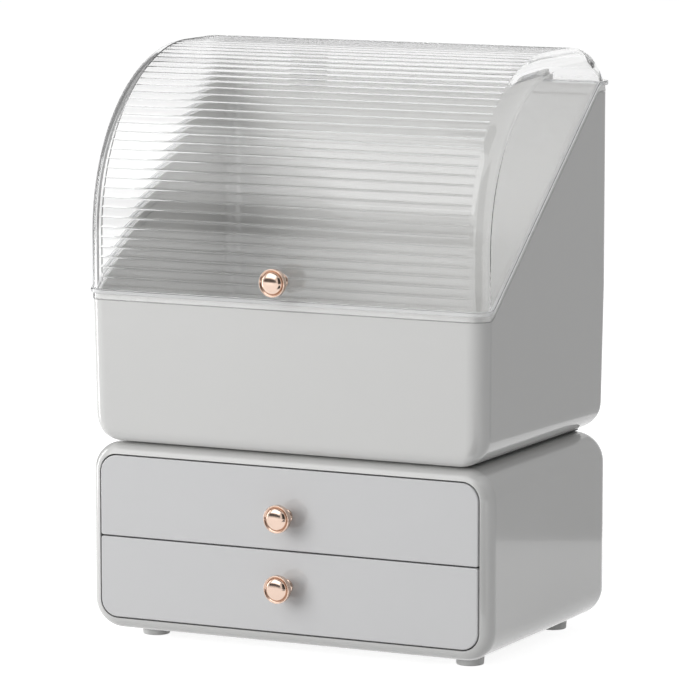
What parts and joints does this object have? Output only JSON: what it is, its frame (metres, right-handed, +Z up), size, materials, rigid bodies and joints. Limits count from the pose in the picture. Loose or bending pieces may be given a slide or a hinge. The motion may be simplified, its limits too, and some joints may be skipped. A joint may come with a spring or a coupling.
{
  "type": "two-tier makeup organizer",
  "caption": "Glossy light grey tabletop makeup organizer: a drawer cabinet with round rose gold knobs, and on it a vanity box under a hinged clear ribbed dome lid.",
  "frame": {"origin": "on the surface it stands on, under the middle of the object's width and depth", "axes": "+X to the right as seen from the front, +Y from the drawer fronts to the back, +Z up"},
  "size_m": [0.29, 0.2294, 0.3903],
  "materials": {
    "casing": "gloss",
    "inner_plastic": "satin",
    "rose_gold": "polished",
    "steel": "satin",
    "rubber": "matte",
    "clear_plastic": "clear"
  },
  "bodies": {
    "cabinet": {"cabinet_shell": "casing", "cabinet_shelf": "inner_plastic", "rail_upper_left": "inner_plastic", "rail_upper_right": "inner_plastic", "rail_lower_left": "inner_plastic", "rail_lower_right": "inner_plastic", "foot_front_left": "rubber", "foot_front_right": "rubber", "foot_rear_left": "rubber", "foot_rear_right": "rubber"},
    "drawer_upper": {"drawer_front_upper": "casing", "drawer_tray_upper": "inner_plastic", "knob_upper": "rose_gold", "knob_screw_upper": "steel"},
    "drawer_lower": {"drawer_front_lower": "casing", "drawer_tray_lower": "inner_plastic", "knob_lower": "rose_gold", "knob_screw_lower": "steel"},
    "upper_box": {"vanity_box": "casing", "stacking_pads": "rubber"},
    "lid_group": {"lid": "clear_plastic", "knob_lid": "rose_gold", "knob_screw_lid": "steel", "hinge_pin_left": "steel", "hinge_pin_right": "steel"}
  },
  "joints": [
    {"name": "drawer_upper_slide", "type": "slide", "parent": "cabinet", "child": "drawer_upper", "axis": [0, -1, 0], "range_m": [0, 0.15]},
    {"name": "drawer_lower_slide", "type": "slide", "parent": "cabinet", "child": "drawer_lower", "axis": [0, -1, 0], "range_m": [0, 0.15]},
    {"name": "vanity_box_lift", "type": "slide", "parent": "cabinet", "child": "upper_box", "axis": [0, 0, 1], "range_m": [0, 0.05]},
    {"name": "lid_hinge", "type": "hinge", "parent": "upper_box", "child": "lid_group", "pos_m": [0, 0.10848, 0.3671], "axis": [-1, 0, 0], "range_deg": [0, 105]}
  ]
}
